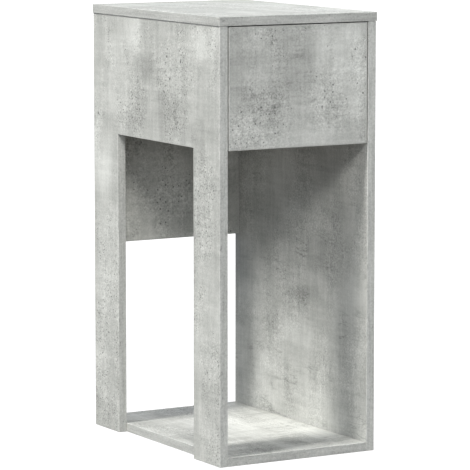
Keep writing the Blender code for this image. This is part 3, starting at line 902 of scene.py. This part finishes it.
def metal_group():
    """Bare or plated metal: cloudy tone, fine scratches both ways and small casting marks."""
    colours = {"Dark": (0.2, 0.2, 0.2, 1.0), "Bright": (0.7, 0.7, 0.7, 1.0)}
    inputs = {"Place": None, **colours, "Marks": 0.5, "Polish": 0.5}
    group, given, made = start_group("metal finish", inputs)
    place = given["Place"]
    cloud = noise(group, place, 160.0, 3.0, 0.6)
    cast = noise(group, place, 1500.0, 2.0, 0.6)
    scratch_a = noise(group, stretched(group, place, (1, 0.06, 1)), 1900.0)
    scratch_b = noise(group, stretched(group, place, (1, 1, 0.07)), 1700.0)
    scratches = ranged(group, sums(group, "MAXIMUM", scratch_a, scratch_b), 0.58, 0.74)
    tone = scaled(group, cloud, 0.6, 0.15)
    tone = lifted(group, tone, cast, 0.6, given["Marks"])
    tone = scaled(group, scratches, 0.2, tone)
    roughness = sums(group, "SUBTRACT", 0.72, scaled(group, given["Polish"], 0.45))
    roughness = lifted(group, roughness, cloud, 0.25)
    height = scaled(group, cast, given["Marks"])
    height = scaled(group, scratches, -0.3, height)
    colour = mixed(group, tone, given["Dark"], given["Bright"])
    fill(group, made, {"Colour": colour, "Roughness": roughness, "Height": height})
    return group


METAL = metal_group()
cast_zinc = printed(
    "cast zinc", METAL, 0.00008, 0.6, 1.0,
    Dark=(0.17, 0.17, 0.175, 1.0), Bright=(0.50, 0.50, 0.505, 1.0), Marks=1.0, Polish=0.45,
)


def turned(profile, steps=48):
    """A bmesh turned about Z from (radius, height) points, from axis to axis or in a ring."""
    bm = bmesh.new()
    points = [bm.verts.new((radius, 0.0, height)) for radius, height in profile]
    edges = [bm.edges.new(pair) for pair in zip(points, points[1:])]
    bmesh.ops.spin(
        bm, geom=points + edges, cent=(0, 0, 0), axis=(0, 0, 1),
        angle=math.tau, steps=steps, use_merge=True,
    )
    bmesh.ops.remove_doubles(bm, verts=bm.verts, dist=1e-7)
    bmesh.ops.recalc_face_normals(bm, faces=bm.faces)
    return bm


def cross_recess(top, span, width, depth):
    """The two tapered arms of a driver's cross, as cutters that go down from a height."""
    arms = []
    for turn in (0.0, math.pi / 2):
        arm = block((-span / 2, -width / 2, -depth), (span / 2, width / 2, depth))
        foot = [vert for vert in arm.verts if vert.co.z < 0]
        bmesh.ops.scale(arm, vec=RECESS_TAPER, verts=foot)
        bmesh.ops.rotate(arm, cent=(0, 0, 0), matrix=Matrix.Rotation(turn, 3, "Z"), verts=arm.verts)
        bmesh.ops.translate(arm, vec=(0, 0, top), verts=arm.verts)
        arms.append(arm)
    return arms


CAM_SLOT = 0.0074
CAM_FLOOR = 0.0035
CAM_DISH = 0.00035
CAM_EDGE = 0.0003
CAM_RIM = 0.0013
ARROW_TIP = 0.0018
ARROW_BACK = 0.0030
ARROW_HALF_WIDTH = 0.0007
ARROW_SINK = 0.0001
RECESS_TAPER = (0.4, 0.6, 1)


def cam_shape(radius, depth):
    """A cam with its face on z = 0, looking up, and its mouth for the bolt on +X."""
    bm = turned(
        [
            (0, -depth), (radius - CAM_EDGE, -depth), (radius, -depth + CAM_EDGE),
            (radius, -0.0004), (radius - 0.0004, 0), (radius - CAM_RIM, 0),
            (radius - CAM_RIM - 0.0003, -CAM_DISH), (0, -CAM_DISH),
        ]
    )
    half_slot = CAM_SLOT / 2
    middle = -(depth + CAM_FLOOR) / 2
    mouth = block((-half_slot, -half_slot, middle - half_slot), (2 * radius, half_slot, middle + half_slot))
    bm = carved(bm, [mouth, *cross_recess(-CAM_DISH, 0.0082, 0.0021, 0.0030)])
    arrow = [(radius - ARROW_TIP, 0)]
    arrow += [(radius - ARROW_BACK, width) for width in (ARROW_HALF_WIDTH, -ARROW_HALF_WIDTH)]
    tip = bm.faces.new([bm.verts.new((x, y, -CAM_DISH - ARROW_SINK)) for x, y in arrow])
    push(bm, [tip], (0, 0, CAM_DISH))
    return bm


cams = []
for hand, side in HANDS.items():
    for end in ENDS:
        cams.append((f"top_cam_{hand}_{end}", (-side, 0, 0), (0, 0, 1), "carcass"))
        cams.append((f"shelf_cam_{hand}_{end}", (0, 0, -1), (side, 0, 0), "carcass"))
    cams.append((f"back_cam_{hand}", (0, 1, 0), (side, 0, 0), "carcass"))
    cams.append((f"drawer_cam_{hand}", (-side, 0, 0), (0, -1, 0), "drawer"))
for cam_node, outwards, to_bolt, body in cams:
    cam = cam_shape(*round_size(cam_node, outwards))
    aim(cam, end_of(cam_node, outwards), outwards, to_bolt)
    fit("cast", cam_node, cam, cast_zinc, body)

# ---------------- cam bolts
# Zinc-plated steel bolts: a round head for the cam, a thin neck and a coarse thread. Each
# is screwed into the board opposite its cam.

zinc_plate = printed(
    "zinc plate", METAL, 0.00003, 0.4, 1.0,
    Dark=(0.36, 0.36, 0.34, 1.0), Bright=(0.74, 0.745, 0.73, 1.0), Marks=0.3, Polish=0.8,
)
THREAD_CREST = 0.55


def threaded(start, end, crest, root, pitch):
    """Profile points of a thread from one height to another."""
    turns = max(int((end - start) / pitch), 1)
    step = (end - start) / turns
    points = []
    for turn in range(turns):
        points.append((root, start + turn * step))
        points.append((crest, start + (turn + THREAD_CREST) * step))
    points.append((root, end))
    return points


BOLT_SETBACK = 0.024
BOLT_RADIUS = 0.003
BOLT_HEAD = 0.003
BOLT_THREAD = 0.010
BOLT_NECK = 0.0018
BOLT_COLLAR = 0.0029
for cam_node, outwards, to_bolt, body in cams:
    bolt_node = cam_node.replace("cam", "bolt")
    joint = end_of(bolt_node, to_bolt) - Vector(to_bolt) * BOLT_THREAD
    head_end = -BOLT_SETBACK - BOLT_HEAD / 2
    neck_end = head_end + BOLT_HEAD
    bolt = turned(
        [
            (0, head_end), (BOLT_RADIUS - 0.0005, head_end), (BOLT_RADIUS, head_end + 0.0006),
            (BOLT_RADIUS, neck_end - 0.0005), (BOLT_NECK, neck_end + 0.0009),
            (BOLT_NECK, -0.0166), (BOLT_COLLAR, -0.0158), (BOLT_COLLAR, -0.0010),
            *threaded(0.0, BOLT_THREAD - 0.0015, BOLT_RADIUS, 0.0021, 0.0017),
            (0.0012, BOLT_THREAD - 0.0002), (0, BOLT_THREAD),
        ],
        32,
    )
    aim(bolt, joint, to_bolt)
    fit("plated", bolt_node, bolt, zinc_plate, body)

# ---------------- dowels
# Fluted beech dowels, 8 mm thick, pressed into both boards of a joint. They place the top
# and the back panel while the cams pull.


def beech_material():
    """Turned beech: short pores and a soft figure."""
    material, tree, shader, spot = start_material("beech dowel")
    pores = noise(tree, spot, 1500.0, 3.0, 0.7)
    figure = noise(tree, spot, 240.0, 3.0, 0.6, 0.6)
    tone = scaled(tree, pores, 0.5, scaled(tree, figure, 0.5))
    colour = coloured(tree, tone, (0.34, 0.20, 0.095), (0.72, 0.53, 0.33))
    dress(tree, shader, colour, ranged(tree, pores, 0.3, 0.7, 0.82, 0.64), pores, 0.4, 0.0001)
    return material


beech = beech_material()
FLUTES = 20
POINTS_PER_FLUTE = 4
FLUTE_SCALE = (0.93, 0.93, 1)
DOWEL_CHAMFER = 0.0007
dowels = [(f"top_dowel_{hand}_{end}", (0, 0, 1)) for hand in HANDS for end in ENDS]
dowels += [(f"back_dowel_{hand}", (side, 0, 0)) for hand, side in HANDS.items()]
for dowel_node, along in dowels:
    radius, length = round_size(dowel_node, along)
    bm = bmesh.new()
    bmesh.ops.create_circle(bm, cap_ends=True, segments=FLUTES * POINTS_PER_FLUTE, radius=radius)
    bmesh.ops.scale(bm, vec=FLUTE_SCALE, verts=list(bm.verts)[::POINTS_PER_FLUTE])
    push(bm, bm.faces[:], (0, 0, length))
    ends = [edge for edge in bm.edges if abs(edge.verts[0].co.z - edge.verts[1].co.z) < length / 2]
    ease(bm, ends, DOWEL_CHAMFER, 1)
    backwards = [-part for part in along]
    aim(bm, end_of(dowel_node, backwards), along)
    finished(f"fluted_{dowel_node}", bm, [beech], "carcass", [dowel_node])

# ---------------- cabinet runners
# Rolled steel channels with a white powder coat, screwed to the side panels.
# Their flanges turn towards the drawer; slots and spare holes run along the web.


def powder_coat_material():
    """White powder coat: a fine orange peel, with grey rub marks where the rollers run."""
    material, tree, shader, spot = start_material("white powder coat")
    peel = noise(tree, spot, 850.0)
    drift = noise(tree, spot, 30.0, 3.0)
    runs = noise(tree, stretched(tree, spot, (1, 0.03, 1)), 900.0, 3.0, 0.6)
    grey_runs = ranged(tree, runs, 0.60, 0.74)
    tone = scaled(tree, drift, 0.5, scaled(tree, peel, 0.4))
    tone = scaled(tree, grey_runs, -0.45, tone)
    colour = coloured(tree, tone, (0.46, 0.46, 0.45), (0.80, 0.80, 0.785), 0.75)
    dress(tree, shader, colour, ranged(tree, grey_runs, 0.0, 1.0, 0.36, 0.55), peel, 0.35, 0.00006)
    return material


powder_coat = powder_coat_material()
STEEL = 0.0012
OUTER_BEND = 0.0020
INNER_BEND = 0.0008


def rolled(outline, outer, inner, start_y, end_y):
    """A rolled strip: an outline of (x, z) points with its bends rounded, drawn along Y.

    outer and inner are the numbers of the points that are the outside and inside of a bend.
    """
    bm = bmesh.new()
    corners = [bm.verts.new((x, start_y, z)) for x, z in outline]
    bm.faces.new(corners)
    for numbers, bend in ((outer, OUTER_BEND), (inner, INNER_BEND)):
        ease(bm, [corners[number] for number in numbers], bend, 5, "VERTICES")
    push(bm, bm.faces[:], (0, end_y - start_y, 0))
    return bm


CUTTER_LENGTH = 0.008


def long_hole(centre, radius, spare, through=(1, 0, 0)):
    """A cutter for a slot with round ends, longer along Y by a spare length."""
    bm = bmesh.new()
    bmesh.ops.create_circle(bm, cap_ends=True, segments=24, radius=radius)
    for way in (-1, 1):
        half = [vert for vert in bm.verts if vert.co.x * way > 1e-7]
        bmesh.ops.translate(bm, vec=(way * spare / 2, 0, 0), verts=half)
    push(bm, bm.faces[:], (0, 0, CUTTER_LENGTH))
    bmesh.ops.translate(bm, vec=(0, 0, -CUTTER_LENGTH / 2), verts=bm.verts)
    aim(bm, centre, through, (0, 1, 0))
    return bm


def fastener_hole(x, node_name, radius, spare):
    """The hole at x in a runner that a screw or a pin goes through."""
    centre = end_of(node_name, (1, 0, 0))
    return long_hole((x, centre.y, centre.z), radius, spare)


# Each hole is its radius and how much longer than round it is
SCREW_HOLE = (0.0018, 0.0002)
PIN_HOLE = (0.0022, 0.0001)
SLOT = (0.0022, 0.010)
SPARE_HOLE = (0.0016, 0.0001)
SLOT_PLACES = (-0.112, -0.048, 0.016, 0.080)
SPARE_PLACES = (-0.080, 0.048, 0.112)
for hand, side in HANDS.items():
    runner_node = f"{hand}_cabinet_runner"
    low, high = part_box(runner_node)
    web_x, flange_x = across_box(runner_node, side)
    inner_x = web_x - side * STEEL
    channel = rolled(
        [
            (web_x, low[2]), (flange_x, low[2]), (flange_x, low[2] + STEEL),
            (inner_x, low[2] + STEEL), (inner_x, high[2] - STEEL),
            (flange_x, high[2] - STEEL), (flange_x, high[2]), (web_x, high[2]),
        ],
        (0, 7), (3, 4), low[1], high[1],
    )
    middle_z = (low[2] + high[2]) / 2
    holes = [fastener_hole(web_x, f"{runner_node}_screw_{end}", *SCREW_HOLE) for end in ENDS]
    holes.append(fastener_hole(web_x, f"{hand}_cabinet_roller_pin", *PIN_HOLE))
    holes += [long_hole((web_x, y, middle_z), *SLOT) for y in SLOT_PLACES]
    holes += [long_hole((web_x, y, middle_z), *SPARE_HOLE) for y in SPARE_PLACES]
    fit("rolled", runner_node, carved(channel, holes), powder_coat, "carcass")

# ---------------- drawer runners
# The other half of each pair, of the same steel: a foot under the drawer side, a wall
# beside it and a lip that rides on the cabinet's roller. Slots run along the foot.

RUNNER_PLAY = 0.0003
FOOT_SLOT = (0.0018, 0.006)
FOOT_PLACES = (-0.150, -0.050, 0.060, 0.150)
for hand, side in HANDS.items():
    runner_node = f"{hand}_drawer_runner"
    low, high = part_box(runner_node)
    lip_x, foot_x = across_box(runner_node, side)
    wall_x = across_box(f"drawer_{hand}_side", side)[0] + side * RUNNER_PLAY
    outer_x = wall_x + side * STEEL
    angle_strip = rolled(
        [
            (lip_x, high[2] - STEEL), (outer_x, high[2] - STEEL), (outer_x, low[2]),
            (foot_x, low[2]), (foot_x, low[2] + STEEL), (wall_x, low[2] + STEEL),
            (wall_x, high[2]), (lip_x, high[2]),
        ],
        (2, 6), (1, 5), low[1], high[1],
    )
    foot_middle = (foot_x + wall_x) / 2
    holes = [
        fastener_hole(wall_x, f"{runner_node}_screw", *SCREW_HOLE),
        fastener_hole(wall_x, f"{hand}_drawer_roller_pin", *PIN_HOLE),
    ]
    holes += [long_hole((foot_middle, y, low[2]), *FOOT_SLOT, (0, 0, 1)) for y in FOOT_PLACES]
    fit("rolled", runner_node, carved(angle_strip, holes), powder_coat, "drawer")

# ---------------- rollers
# White nylon wheels, 16 mm across: one at the front of each cabinet runner and one at
# the rear of each drawer runner. They turn on their pins.


def nylon_material():
    """White nylon: slightly cloudy, with a polished track round the rim."""
    material, tree, shader, spot = start_material("white nylon")
    cloud = noise(tree, spot, 220.0, 3.0)
    track = ranged(tree, noise(tree, stretched(tree, spot, (0.08, 1, 1)), 900.0, 2.0), 0.55, 0.7)
    tone = scaled(tree, track, -0.35, cloud)
    colour = coloured(tree, tone, (0.55, 0.545, 0.51), (0.86, 0.855, 0.82))
    dress(tree, shader, colour, ranged(tree, tone, 0.1, 0.8, 0.56, 0.38), cloud, 0.3, 0.00006)
    return material


nylon = nylon_material()
BORE_RADIUS = 0.0023
HUB_RADIUS = 0.0036
FACE_DISH = 0.0006
TREAD_SINK = 0.0003
for hand, side in HANDS.items():
    for carrier in ("cabinet", "drawer"):
        roller_node = f"{hand}_{carrier}_roller"
        radius, width = round_size(roller_node, (1, 0, 0))
        half_profile = [
            (BORE_RADIUS, 0), (HUB_RADIUS, 0), (HUB_RADIUS + 0.0004, FACE_DISH),
            (radius - 0.0020, FACE_DISH), (radius - 0.0015, 0), (radius - 0.0004, 0),
            (radius, 0.0004), (radius, 0.0013), (radius - TREAD_SINK, 0.0016),
        ]
        far_half = [(across, width - along) for across, along in reversed(half_profile)]
        wheel = turned([*half_profile, *far_half, half_profile[0]], 64)
        aim(wheel, end_of(roller_node, (-1, 0, 0)), (1, 0, 0))
        fit("nylon", roller_node, wheel, nylon, roller_node)

# ---------------- roller pins
# Plated steel rivets through the runner and the wheel, with a low domed head on the
# wheel's side.

PIN_RADIUS = 0.0020
PIN_HEAD = 0.0008
for hand, side in HANDS.items():
    for carrier, away, body in (("cabinet", -side, "carcass"), ("drawer", side, "drawer")):
        pin_node = f"{hand}_{carrier}_roller_pin"
        head, length = round_size(pin_node, (1, 0, 0))
        rivet = turned(
            [
                (0, 0), (PIN_RADIUS - 0.0002, 0), (PIN_RADIUS, 0.0002),
                (PIN_RADIUS, length - PIN_HEAD), (head, length - PIN_HEAD),
                (head, length - 0.0006), (head - 0.0007, length - 0.0001),
                (0.0008, length), (0, length),
            ],
            32,
        )
        aim(rivet, end_of(pin_node, (-away, 0, 0)), (away, 0, 0))
        fit("riveted", pin_node, rivet, zinc_plate, body)

# ---------------- screws
# Zinc-plated steel chipboard screws with low pan heads and a cross recess. They hold the
# runners to the boards and the drawer sides to its back.

screws = []
for hand, side in HANDS.items():
    for end in ENDS:
        screws.append((f"{hand}_cabinet_runner_screw_{end}", side, "carcass"))
    screws.append((f"{hand}_drawer_runner_screw", -side, "drawer"))
    screws.append((f"drawer_back_screw_{hand}", -side, "drawer"))
for screw_node, inwards, body in screws:
    head, length = round_size(screw_node, (1, 0, 0))
    shape = turned(
        [
            (0, 0), (head - 0.0010, 0.00004), (head - 0.0003, 0.00020), (head, 0.00040),
            (head, 0.00060), (0.0014, 0.00062),
            *threaded(0.0016, length - 0.0022, 0.0015, 0.0010, 0.0011),
            (0.0003, length - 0.0001), (0, length),
        ],
        32,
    )
    bmesh.ops.transform(shape, matrix=Matrix.Rotation(math.pi, 4, "X"), verts=shape.verts)
    shape = carved(shape, cross_recess(0.0, 0.0027, 0.0007, 0.0009))
    aim(shape, end_of(screw_node, (-inwards, 0, 0)), (-inwards, 0, 0))
    fit("plated", screw_node, shape, zinc_plate, body)
